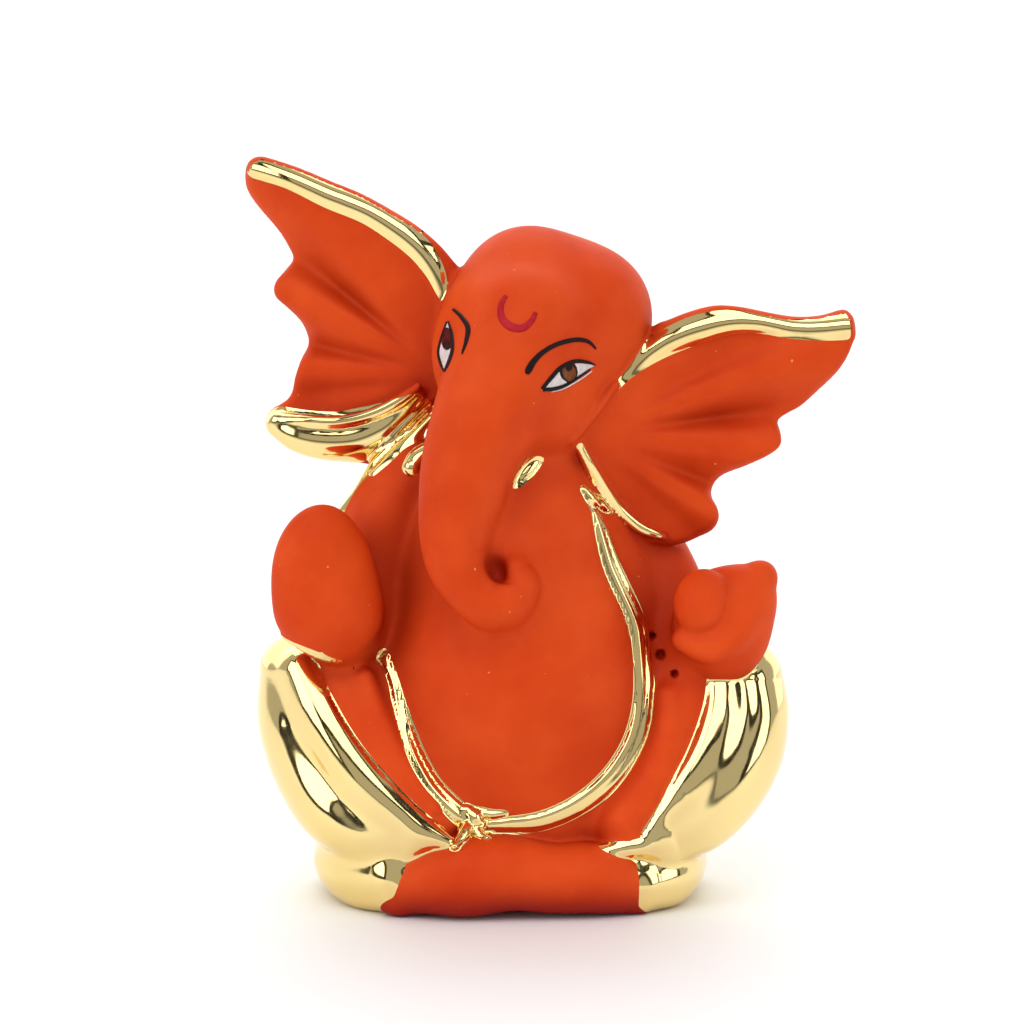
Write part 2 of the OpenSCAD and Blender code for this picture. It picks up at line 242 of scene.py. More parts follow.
class Ear:
    """A fluted sheet over an outline in (h, v), with a depth for every point of it."""

    CELL = 0.12  # spacing of the ear's own grid, mm
    FOLD_DEPTH = 2.7  # of a flute of height 1, mm
    SOFT = 0.95  # radius of the ear's edge, mm

    def __init__(self, outline, depth, thick, bands, clips, hub, folds):
        outline = curve_points(outline, 5, closed=True)
        lo, hi = outline.min(0) - 6.5, outline.max(0) + 6.5
        self.origin = lo
        n = ((hi - lo) / self.CELL).astype(int)
        across, up = (lo[i] + np.arange(n[i]) * self.CELL for i in (0, 1))
        H, V = np.meshgrid(across, up, indexing="ij")
        edge = outline_distance(H, V, outline) - 0.12
        reach = np.hypot(H - hub[0], V - hub[1])
        angle = np.degrees(np.arctan2(V - hub[1], H - hub[0])) % 360
        fold_angles = np.array([a for a, _ in folds], float)
        fold_heights = np.array([f for _, f in folds], float)
        fine = np.interp(np.arange(0, 360, 1.0), fold_angles, fold_heights)
        for _ in range(3):
            fine = np.convolve(np.pad(fine, 2, "wrap"), np.ones(5) / 5, "valid")
        fold = np.interp(angle, np.arange(0, 361, 1.0), np.append(fine, fine[0]))
        fold = self.FOLD_DEPTH * fold * np.clip((reach - 3) / 13, 0, 1) ** 1.2
        surface = blurred(depth(H, V, reach) + fold, 9)
        gh, gv = np.gradient(surface, self.CELL)
        half = thick(H, V, edge)
        self.grids = [
            g.astype(np.float32)
            for g in [blurred(edge, 5), surface, 1 / np.sqrt(1 + gh**2 + gv**2), blurred(half, 9)]
            + [blurred(np.maximum(band_distance(H, V, b), edge + c), 3) for b, c in zip(bands, clips)]
        ]
        corner = [seen(h, v, y) for h in (lo[0], hi[0]) for v in (lo[1], hi[1]) for y in (-15, 12)]
        inside = edge < 0
        self.lo = np.min(corner, 0) + 5.5
        self.hi = np.max(corner, 0) - 5.5
        self.lo[1], self.hi[1] = surface[inside].min() - 2.2, surface[inside].max() + 2.2

    def look(self, P, which):
        """Values of the chosen grids: edge distance, depth, slope, half-thickness, top band, lower hem."""
        h, v = front(P)
        i = np.clip((h - self.origin[0]) / self.CELL, 0, self.grids[0].shape[0] - 1.01)
        j = np.clip((v - self.origin[1]) / self.CELL, 0, self.grids[0].shape[1] - 1.01)
        a, b = i.astype(np.int32), j.astype(np.int32)
        s, t = (i - a).astype(np.float32), (j - b).astype(np.float32)
        out = []
        for w in which:
            g = self.grids[w]
            low = g[a, b] * (1 - s) + g[a + 1, b] * s
            high = g[a, b + 1] * (1 - s) + g[a + 1, b + 1] * s
            out.append(low * (1 - t) + high * t)
        return out

    def __call__(self, P):
        edge, y, slope, half = self.look(P, (0, 1, 2, 3))
        q1 = edge + self.SOFT
        q2 = np.abs(P[:, 1] - y) * slope - half + self.SOFT
        outside = np.hypot(np.maximum(q1, 0), np.maximum(q2, 0))
        return np.minimum(np.maximum(q1, q2), 0) + outside - self.SOFT


# ---------------------------------------------------------------- the figure's shapes

ear_left_band = [
    (12.4, 60.2, 0.35), (14.2, 62.2, 0.8), (16.4, 64.2, 1.3), (19.4, 66, 1.65), (22.8, 67.3, 1.75),
    (26.2, 68.0, 1.5),
    (29.8, 67.9, 1.25), (33.4, 67.3, 1.25), (37, 67.2, 1.4), (40.9, 67.5, 1.6),
]
ear_left_hem = [
    (8.0, 53.6, 0.35), (9.2, 51, 0.65), (10.9, 48.2, 0.65), (12.8, 45.7, 0.6), (14.9, 43.7, 0.6),
    (16.4, 42.9, 0.55), (18.2, 42.3, 0.2),
]
ear_right_band = [
    (-30.6, 86.4, 1.2), (-26.6, 85.2, 1.25), (-21.9, 83.1, 1.45), (-17.4, 81.3, 1.5),
    (-13.8, 79.1, 1.6), (-11.1, 76.8, 1.5), (-9.3, 74.2, 1.2), (-8.5, 72, 0.8), (-8.2, 70.2, 0.15),
]
ear_right_hem = [
    (-27.6, 55.3, 2.6), (-24.2, 54.3, 3.1), (-20.6, 54.0, 3.3), (-17, 55, 3.0), (-14, 56.6, 2.1),
    (-11.4, 58.8, 0.8),
]

ear_left = Ear(
    [
        (15.4, 65.3), (17.3, 67.6), (18.8, 68.2), (21.4, 69.2), (24.4, 69.9), (27.4, 69.7),
        (30.6, 69.0), (34, 68.5),
        (37, 68.7), (39.4, 69.4), (40.3, 69.2), (40.8, 68), (40.9, 66.2), (40.2, 64.1), (38.8, 62),
        (36.6, 59.9),
        (34.6, 58.1), (32.8, 57.1), (31.7, 56.2), (32.1, 54.8), (32.1, 53.3), (30.6, 52.1), (28, 50.9),
        (25.2, 49.8), (24, 48.5), (23.8, 47.1), (24.5, 45.8), (24.7, 44.5), (24, 43.2), (22.4, 42.4),
        (20.4, 41.6),
        (18, 41.6), (15.4, 42.2), (13.8, 43.7), (12.0, 45.8), (10.2, 48.2), (8.4, 50.9), (7.0, 53.6),
        (7.5, 57.5),
        (10.5, 62),
    ],
    lambda H, V, r: -3.4 - 5.2 * np.exp(-((r / 8.0) ** 2)) - 0.09 * (H - 17) + 0.0012 * r * r,
    lambda H, V, e: 1.0 + 0.25 * np.clip(-e / 6, 0, 1),
    [ear_left_band, ear_left_hem],
    [0.4, 0.0],
    (8.8, 54.5),
    [
        (0, -0.25), (7, 0.85), (14, 0.0), (20, -0.45), (27, 0.3), (34, 0.2), (42, -0.2), (60, 0),
        (180, 0), (300, 0),
        (318, 0.35), (330, -0.6), (338, 0.75), (346, 0.1), (353, -0.65), (360, -0.25),
    ],
)
ear_right = Ear(
    [
        (-6.4, 74.2), (-7.4, 75.6), (-9, 77.4), (-11.6, 79.5), (-14.6, 81.3), (-18.2, 83.3),
        (-21.8, 84.8), (-25.4, 86.3), (-29, 87.5), (-30.4, 87.7), (-31.6, 87), (-31.9, 85.1),
        (-31.3, 83.3), (-29.7, 81.2),
        (-27.9, 79.1), (-26.6, 77), (-26.1, 75.6), (-27.1, 74.2), (-28.3, 72.7), (-28.3, 71.2),
        (-26.7, 69.7),
        (-25.3, 68.3), (-24.5, 66.8), (-24.3, 65.3), (-25.2, 63.5), (-25.9, 61.4), (-26.3, 59.5),
        (-27.2, 58.4),
        (-28.9, 57.4), (-29.5, 56.2), (-29.1, 54.8), (-27.2, 53.4), (-24, 52.1), (-20.6, 51.5),
        (-17, 51.3), (-14.6, 52.4),
        (-12, 55.5), (-8.5, 59), (-4, 62), (-3, 68),
    ],
    lambda H, V, r: 0.4 + 0.17 * (-H - 8) + 0.0018 * r * r - 1.0 * np.clip((57 - V) / 5, 0, 1),
    lambda H, V, e: 1.0 + 0.25 * np.clip(-e / 6, 0, 1),
    [ear_right_band, ear_right_hem],
    [0.4, -2.0],
    (-8.0, 61.5),
    [
        (0, 0), (100, 0), (120, -0.1), (130, -0.35), (141, 0.9), (150, -0.6), (157, -0.35), (166, 0.9),
        (176, -0.35),
        (187, 0.35), (200, 0), (300, 0), (360, 0),
    ],
)


class Rim:
    """A rolled lip along a band of an ear, kept inside the ear's outline."""

    def __init__(self, ear, line, lift, scale, least):
        rows = []
        for h, v, w in curve_points(line, 2):
            p = seen(h, v, 0)[None].astype(np.float32)
            y = float(ear.look(p, (1,))[0][0])
            rows.append((h, v, y - lift, max(w * scale, least)))
        self.ear, self.tube = ear, Tube(rows)
        self.lo, self.hi = self.tube.lo, self.tube.hi

    def __call__(self, P):
        return smax(self.tube(P), self.ear.look(P, (0,))[0] + 0.05, 0.5)


GROUPS = {
    "body": [
        (Loft([
            (-6, 19.6, 14.2, 0, 0.6), (0, 20.0, 14.4, 0, 0.6), (5, 20.6, 14.9, 0, 0.6),
            (11, 22.0, 15.4, 0, 0.7),
            (18, 23.0, 15.6, 0.2, 0.8), (26, 22.4, 14.8, 0.8, 1.0), (33, 20.0, 13.4, 1, 1.0),
            (40, 17.4, 11.6, 1, 1.2),
            (46, 14.0, 9.8, 1.2, 1.5), (51, 9.8, 8.6, 1.6, 1.6), (58, 7.6, 8.0, 2.0, 1.5)]), 0),
        (Blob(1.0, 26.6, -4.6, (15.2, 13.4, 17.6)), 2.2),
        (Blob(0.2, 42.5, -4.2, (11.0, 10.2, 13.5)), 5),
        (Tube([
            (20.6, 29.5, -4.0, 4.0), (21.0, 24, -6.4, 4.8), (20.4, 18.6, -8.6, 4.6),
            (17.6, 12.8, -10.8, 4.2),
            (13.6, 7.6, -12.6, 3.4)]), 2.2),
        (Tube([
            (18.6, 23.2, -11.2, 0.7), (18.4, 18.2, -12.6, 1.0), (16.2, 12.6, -14.0, 0.9),
            (13.0, 8.4, -15, 0.6),
        ]), 2.6),
        (Tube([
            (-20.8, 29.5, -4.0, 4.4), (-20.0, 23.6, -6.8, 5.0), (-17.4, 17.6, -9.6, 5.0),
            (-13.6, 11.6, -12.0, 4.4),
            (-9.6, 7.4, -13.4, 3.4)]), 2.6),
        (Tube([
            (-17.6, 25.4, -11.0, 0.8), (-15.6, 19.6, -12.8, 0.9), (-12.6, 13.8, -14.6, 0.8),
            (-9.6, 9.8, -15.8, 0.5),
        ]), 2.0),
    ],
    "head": [
        (Blob(4.3, 67.6, 0.6, (11.4, 12.2, 10.6), (0, 14, 0)), 0),
        (Blob(1.7, 71.7, -1.4, (7.2, 8.2, 7.4)), 3.5),
        (Blob(9.3, 69.3, -0.8, (6.9, 8.2, 7.0)), 3.5),
        (Blob(-1.2, 63.6, -4.6, (8.2, 8.2, 9.6), (0, -8, 0)), 4),
        (Blob(2.9, 58.6, -5.6, (7.3, 8.4, 6.8), (0, 20, 0)), 4),
    ],
    "trunk": [
        (Tube([
            (1.6, 67.5, -8.6, 7.2), (-0.9, 61.4, -11.4, 7.2), (-3.3, 56.2, -13.4, 6.3),
            (-5.2, 51.6, -14.8, 5.5),
            (-6.2, 47.2, -15.9, 4.9), (-6.8, 43.2, -16.7, 4.3), (-6.8, 39.9, -17.2, 3.7),
            (-5.7, 37.1, -17.6, 3.3),
            (-3.2, 34.7, -17.9, 3.0), (-1.2, 34.4, -17.9, 2.7)]), 0),
        (Tube([
            (-2.2, 34.6, -17.9, 2.6), (-0.4, 34.8, -17.9, 2.6), (0.8, 36.4, -17.6, 2.2),
            (0.2, 38.0, -17.3, 1.5),
        ]), 1.2),
        (Blob(-2.0, 39.4, -13.4, (3.4, 3.4, 4.4)), 2.6),
    ],
    "arm_right": [
        (Tube([
            (-11.0, 49.6, 0.0, 4.6), (-14.4, 45.4, -0.6, 5.0), (-16.4, 39.4, -1.8, 4.8),
            (-17.6, 34, -4.4, 4.6),
            (-19.8, 31.0, -8.0, 4.2), (-21.6, 31.2, -10.6, 4.0)]), 0),
    ],
    "hand_right": [
        (Blob(-23.1, 38.0, -11.6, (5.7, 3.6, 8.1), (0, 4, 14)), 0),
        (Blob(-21.8, 33.0, -11.2, (6.0, 4.3, 4.8)), 3),
        (Blob(-18.9, 36.2, -10.6, (2.6, 2.8, 5.4), (0, -6, 0)), 2.4),
    ],
    "arm_left": [
        (Tube([
            (12.4, 44.6, 2.4, 4.8), (16.4, 40.6, 1.6, 4.3), (19.0, 36, -0.6, 4.1),
            (20.6, 31.4, -3.6, 4.1),
            (22.4, 29.0, -6.6, 4.2)]), 0),
    ],
    "hand_left": [
        (Blob(25.2, 31.7, -9.0, (5.9, 4.4, 6.8)), 0),
        (Blob(27.4, 34.4, -9.2, (4.1, 3.7, 4.2)), 1.6),
        (Tube([(27.2, 34.4, -9.4, 3.2), (28.9, 36.3, -9.2, 2.7), (29.9, 37.5, -9.0, 1.9)]), 1.6),
        (Blob(22.9, 34.4, -11.5, (3.5, 2.9, 4.0), (0, 8, 0)), 0.25),
        (Tube([
            (20.6, 29.9, -11.6, 1.4), (23.4, 28.9, -12.4, 1.7), (26.4, 30.0, -12.4, 1.8),
            (28.0, 32.6, -11.8, 1.6), (28.2, 35.2, -10.8, 1.3),
        ]), 1.0),
    ],
    "leg_right": [
        (Tube([
            (-26.4, 26.6, -2.0, 3.9), (-25.6, 20.8, -2.6, 5.0), (-23.5, 14.9, -4.4, 5.3),
            (-20.2, 10.2, -7.0, 5.4),
            (-16.2, 7.4, -10.2, 4.4), (-12, 6.0, -13, 2.8)], 1.6), 0),
        (Tube([
            (-25.2, 26.4, -8.2, 2.2), (-22.9, 21.2, -10.8, 2.7), (-19.4, 15.4, -13.4, 2.8),
            (-15.4, 10.8, -15.2, 2.6),
            (-11.0, 7.2, -16.4, 1.9), (-7.2, 5.4, -17.4, 0.7)]), 2.4),
    ],
    "leg_left": [
        (Tube([
            (28.0, 25.6, -3.0, 4.5), (28.0, 21.4, -4.0, 5.3), (26.7, 16.8, -5.4, 5.9),
            (24.2, 12.4, -7.4, 5.8),
            (21.4, 8.8, -9.6, 4.9), (18.2, 6.6, -11.8, 3.2)], 1.4), 0),
        (Tube([
            (24.9, 25.2, -8.4, 2.3), (24.8, 20.8, -10.4, 2.7), (23.0, 15.6, -12.6, 2.6),
            (20.0, 11.0, -14.0, 2.2),
            (16.6, 7.0, -14.6, 1.1)]), 2.0),
        (Tube([
            (28.9, 24.6, -7.4, 1.9), (29.2, 20.4, -9.0, 2.2), (27.4, 15.6, -10.6, 2.2),
            (24.2, 11.2, -12.0, 1.8),
            (20.4, 7.6, -13.0, 1.0)]), 1.2),
    ],
    "shin_right": [
        (Tube([
            (-19.6, 4.8, 2.0, 4.0), (-19.3, 3.4, -4.5, 4.4), (-17.0, 2.0, -10.0, 4.7),
            (-13.8, 1.6, -13.4, 4.4),
        ]), 0),
    ],
    "shin_left": [
        (Tube([
            (19.4, 4.6, 2.0, 3.8), (19.2, 3.2, -5.0, 4.1), (17.8, 1.8, -10.4, 4.2),
            (15.2, 0.9, -13.2, 3.6),
        ]), 0),
        (Tube([
            (10.8, 4.6, -16.0, 0.5), (13.4, 4.7, -16.0, 0.8), (16.4, 5.1, -15.0, 1.1),
            (19.2, 4.9, -13, 1.3),
        ]), 1.2),
    ],
    "foot_right": [
        (Tube([
            (-13.4, -0.6, -14.8, 2.8), (-11.4, 0.4, -15.2, 3.5), (-8.0, 1.4, -15.6, 4.2),
            (-3.0, 2.0, -15.8, 4.5),
            (2.6, 1.6, -15.8, 4.2), (6.4, 1.0, -15.4, 3.6)]), 0),
        (Blob(-5.6, 1.2, -15.4, (6.2, 4.6, 4.4)), 1.5),
    ],
    "foot_left": [
        (Tube([
            (14.4, 0.2, -13.2, 3.3), (11.6, 1.0, -14.4, 4.0), (8.2, 1.4, -15.2, 4.2),
            (4.6, 1.1, -15.4, 3.8),
        ]), 0),
    ],
    "ear_left": [
        (ear_left, 0),
        (Rim(ear_left, ear_left_band, 0.75, 0.85, 0.5), 0.9),
        (Rim(ear_left, ear_left_hem, 1.25, 1.15, 0.5), 0.3),
    ],
    "ear_right": [
        (ear_right, 0),
        (Rim(ear_right, ear_right_band, 0.75, 0.85, 0.4), 0.9),
        (Tube([
            (-27.9, 55.7, 3.0, 1.6), (-25.6, 54.6, 2.5, 2.2), (-22.4, 54.0, 2.0, 2.5),
            (-19, 54.1, 1.5, 2.5),
            (-16, 55.2, 1.0, 2.2), (-13.4, 57.2, 0.4, 1.5), (-11.2, 59.4, -0.4, 0.8)]), 0.8),
        (Tube([
            (-28.2, 56.4, 2.2, 0.6), (-24.6, 56.2, 0.8, 0.7), (-20.6, 56.1, 0.0, 0.75),
            (-16.8, 57.0, -0.6, 0.75),
            (-13.6, 58.6, -1.0, 0.7), (-11.2, 60.4, -1.4, 0.4)]), 0.7),
    ],
}


def first_hit(h, v, names, k=2.0):
    """Depth at which the view from the front at each (h, v) meets the named groups."""
    h, v = np.asarray(h, float), np.asarray(v, float)
    ys = np.arange(-25, 12, 0.2)
    out = np.full(len(h), np.nan)
    for i in range(len(h)):
        P = seen_all(np.full(len(ys), h[i]), np.full(len(ys), v[i]), ys).astype(np.float32)
        d = np.full(len(P), FAR, np.float32)
        for name in names:
            g = np.full(len(P), FAR, np.float32)
            for shape, soft in GROUPS[name]:
                g = smin(g, shape(P).astype(np.float32), soft)
            d = smin(d, g, k)
        inside = np.nonzero(d < 0)[0]
        if len(inside):
            j = max(inside[0], 1)
            out[i] = ys[j - 1] + 0.2 * np.clip(d[j - 1] / (d[j - 1] - d[j] + 1e-9), 0, 1)
    good = ~np.isnan(out)
    return np.interp(np.arange(len(h)), np.nonzero(good)[0], out[good])


def draped(names, rows, sink=0.1, dense=2):
    """Stations for a tube that lies on the named groups: rows of (h, v, radius)."""
    p = curve_points(rows, dense)
    y = first_hit(p[:, 0], p[:, 1], names)
    for _ in range(5):
        y[1:-1] = (y[:-2] + 2 * y[1:-1] + y[2:]) / 4
    return [(h, v, d + sink, max(r, 0.12)) for (h, v, r), d in zip(p, y)]


def lying(names, rows, sink=0.1):
    """A tube that lies on the named groups."""
    return Tube(draped(names, rows, sink))


def twin(names, rows, sink=0.1):
    """A cord of two strands, side by side, lying on the named groups."""
    p = curve_points(rows, 2)
    d = np.gradient(p[:, :2], axis=0)
    d /= np.linalg.norm(d, axis=1)[:, None]
    side = np.stack([-d[:, 1], d[:, 0]], 1) * p[:, 2:] * 0.36
    return [
        (Tube(draped(names, np.column_stack([p[:, :2] + w * side, p[:, 2] * 0.72]), sink, 1)), k)
        for w, k in ((-1, 0), (1, 0.35))
    ]


TORSO = ("body", "trunk", "head")
GROUPS["tusk_left"] = [
    (lying(TORSO, [(2.8, 51.1, 0.4), (2.1, 50.4, 0.62), (1.3, 49.6, 0.66), (0.7, 48.9, 0.5)]), 0)
]
GROUPS["tusk_right"] = [
    (Tube([(-8.6, 53, -8.0, 1.4), (-11.0, 51.6, -9.2, 1.5), (-12.0, 50.6, -10.2, 1.2)]), 0)]
GROUPS["stole_left"] = twin(TORSO, [
    (9.7, 45.7, 0.2), (10.6, 43.2, 0.75), (11.9, 38.8, 1.1), (13.6, 35, 1.2), (15.0, 31.6, 1.15),
    (15.5, 27, 1.1),
    (15.6, 22.3, 1.1), (14.6, 17.6, 1.2), (11.8, 13.3, 1.15), (7.6, 10, 1.0), (2.8, 8.1, 0.9),
    (-3.4, 7.6, 0.7)])
GROUPS["stole_left"] += [
    (lying(TORSO, [(8.6, 47.9, 0.4), (9.3, 46.9, 0.75), (10.2, 46.2, 0.5)], 0.0), 0.2),
    (lying(TORSO, [(9.6, 47.2, 0.3), (10.6, 46.2, 0.6), (11.6, 45.4, 0.35)], 0.0), 0.2),
]
GROUPS["stole_right"] = twin(("body", "arm_right"), [
    (-15.2, 27.8, 0.55), (-14.9, 26.9, 0.42), (-14, 24.4, 0.45), (-13, 20.4, 0.75), (-11.9, 16.5, 1.0),
    (-9.7, 12.4, 1.05),
    (-6.6, 9.2, 1.1), (-4.8, 8.2, 0.8)])
KNOT_BASE = ("body", "foot_right", "leg_right")
GROUPS["stole_knot"] = [
    (lying(KNOT_BASE, [(-5.4, 9.4, 0.7), (-4.6, 8.5, 1.1), (-3.8, 7.7, 0.7)], -0.2), 0),
    (lying(KNOT_BASE, [(-4.9, 8.3, 0.6), (-5.8, 6.6, 0.8), (-6.9, 5.1, 0.4)], 0.0), 0.25),
    (lying(KNOT_BASE, [(-4.4, 8.2, 0.6), (-4.2, 6.9, 0.65), (-3.0, 6.1, 0.35)], 0.0), 0.25),
    (lying(KNOT_BASE, [(-3.9, 9.2, 0.5), (-2.4, 8.9, 0.45), (-0.6, 9.1, 0.2)]), 0.2),
]
SHOULDER = ("body", "arm_right", "ear_right", "head")
GROUPS["shoulder_shawl"] = [
    (lying(SHOULDER, [
        (-9.9, 57.6, 0.5), (-13.0, 54.5, 0.7), (-16.0, 51.5, 0.65), (-17.0, 50.0, 0.4),
        (-18.4, 47.6, 0.42), (-20.4, 45.3, 0.4),
    ]), 0),
    (lying(SHOULDER, [
        (-9.6, 56.6, 0.45), (-12.2, 53.9, 0.65), (-14.8, 51.2, 0.6), (-16.4, 49.8, 0.3),
    ]), 0.2),
    (lying(SHOULDER, [
        (-10.2, 58.4, 0.4), (-12.8, 55.9, 0.6), (-15.6, 53.0, 0.5), (-16.8, 51.4, 0.3),
    ]), 0.2),
]
HEM_BASE = ("hand_right", "leg_right", "body", "arm_right")
GROUPS["leg_right"].append(
    (lying(HEM_BASE, [
        (-27.4, 30.3, 0.25), (-26.0, 29.5, 0.36), (-24.2, 28.5, 0.38), (-22.4, 27.7, 0.34),
        (-20.6, 27.2, 0.2),
    ], 0.05), 0.2))
GROUPS["head"].append(
    (lying(("head", "ear_left"), [
        (7.2, 53.8, 0.3), (8.8, 55.9, 0.5), (10.6, 58.2, 0.55), (12.2, 60.4, 0.4),
    ], 0.15), 0.7))
NAMES = list(GROUPS)
G = {n: i for i, n in enumerate(NAMES)}

# How each group joins those before it: (group, softness). The first is the body.
JOINS = [
    ("trunk", 3.4), ("head", 2.2), ("tusk_left", 0.3), ("tusk_right", 0.35), ("ear_left", 1.0),
    ("ear_right", 1.0),
    ("shoulder_shawl", 0.3), ("arm_right", 1.6), ("arm_left", 1.6), ("hand_right", 1.2), ("hand_left", 0.9),
    ("leg_right", 0.5), ("leg_left", 0.5), ("shin_right", 1.6), ("shin_left", 1.6), ("foot_right", 0.7),
    ("foot_left", 1.0), ("stole_left", 0.25), ("stole_right", 0.25), ("stole_knot", 0.3),
]

# Small dark pits beside the left arm, and the hollow of the trunk's curl: (shape, softness).
SIDE = ("body", "arm_left", "hand_left")
PITS = [
    (Blob(h, v, float(first_hit([h, h], [v, v], SIDE)[0]), (r, 1.3, r)), 0.2)
    for h, v, r in ((16.8, 30.3, 0.45), (17.8, 28.1, 0.6), (19.5, 25.8, 0.45))
]
CURL = float(first_hit([-1.9, -1.9], [38.3, 38.3], ("trunk", "body"))[0])
PITS.append((Blob(-1.9, 38.3, CURL, (0.9, 1.3, 1.4), (0, -16, 0)), 1.4))

PIECES = [
    "body_front", "body_back", "head_front", "head_back", "trunk", "tusk_left", "tusk_right",
    "ear_left_front", "ear_left_back", "ear_left_top_rim", "ear_left_lower_rim",
    "ear_right_front", "ear_right_back", "ear_right_top_rim", "ear_right_lower_rim",
    "arm_left", "arm_right", "hand_left", "hand_right", "leg_left", "leg_right", "shin_left", "shin_right",
    "foot_left", "foot_right", "stole_left", "stole_right", "stole_knot", "shoulder_shawl",
]


BODY_SEAM = 2.4  # depth at which the torso's front half meets its back half, mm
HEAD_SEAM = 4.5  # the same for the head
EAR_SEAM = 0.35  # how far behind the middle of an ear its orange face ends
HEM_SEAM = 4.8  # depth at which the right ear's rolled hem meets the back of the ear
TRUNK_ROOT = 57.0  # height, as seen, at which the trunk leaves the face
STOLE_FOOT = 0.3  # how far the stole's gold runs out past the cord, mm
SMALL_FOOT = 0.16  # the same for the shawl and the tusks


def distances(P):
    """Distance to every group, and to the whole figure."""
    P = P.astype(np.float32)
    D = np.full((len(NAMES), len(P)), FAR, np.float32)
    for g, name in enumerate(NAMES):
        for shape, k in GROUPS[name]:
            m = np.ones(len(P), bool)
            for axis in range(3):
                m &= (P[:, axis] > shape.lo[axis] - FAR) & (P[:, axis] < shape.hi[axis] + FAR)
            i = np.nonzero(m)[0]
            if len(i):
                D[g, i] = smin(D[g, i], shape(P[i]).astype(np.float32), k)
    F = D[G["body"]]
    for name, k in JOINS:
        F = smin(F, D[G[name]], k)
    for pit, k in PITS:
        i = np.nonzero(((P > pit.lo - 1.5) & (P < pit.hi + 1.5)).all(1))[0]
        if len(i):
            F[i] = smax(F[i], -pit(P[i]), k)
    F = smax(F, -P[:, 2], 0.5)
    return D, F


def figure(P):
    out = np.empty(len(P), np.float32)
    for s in range(0, len(P), CHUNK):
        out[s : s + CHUNK] = distances(P[s : s + CHUNK])[1]
    return out


def owners(P, D):
    """For every piece, a value that is least where the piece is."""
    P = P.astype(np.float32)
    y = P[:, 1]
    v = front(P)[1]
    out = np.full((len(PIECES), len(P)), FAR, np.float32)
    put = {n: i for i, n in enumerate(PIECES)}

    def give(name, value):
        out[put[name]] = value

    body, head, trunk = D[G["body"]], D[G["head"]], D[G["trunk"]]
    back = y - BODY_SEAM
    give("body_front", np.maximum(body, back))
    give("body_back", np.maximum(body, -back))
    head = np.minimum(head, np.maximum(trunk, TRUNK_ROOT - v))
    give("head_front", np.maximum(head, y - HEAD_SEAM))
    give("head_back", np.maximum(head, HEAD_SEAM - y))
    give("trunk", np.maximum(trunk, v - TRUNK_ROOT))
    for side, ear in (("left", ear_left), ("right", ear_right)):
        d = D[G["ear_" + side]]
        near = np.nonzero(d < FAR - 0.5)[0]
        ys, top, low = ear.look(P[near], (1, 4, 5))
        dd = d[near]
        behind = P[near, 1] - ys - EAR_SEAM
        behind_low = P[near, 1] - HEM_SEAM if side == "right" else behind
        for name, value in (
            ("front", np.maximum.reduce([dd, behind, -top, -low])),
            ("back", np.maximum(dd, -behind)),
            ("top_rim", np.maximum.reduce([dd, top, behind])),
            ("lower_rim", np.maximum.reduce([dd, low, behind_low])),
        ):
            out[put[f"ear_{side}_{name}"], near] = value
    for name in PIECES:
        if name in G and name != "trunk":
            give(name, D[G[name]])
    for name in ("stole_left", "stole_right", "stole_knot", "shoulder_shawl", "tusk_left", "tusk_right"):
        out[put[name]] -= STOLE_FOOT if name.startswith("stole") else SMALL_FOOT
    return out


# ---------------------------------------------------------------- one surface, shared between the pieces


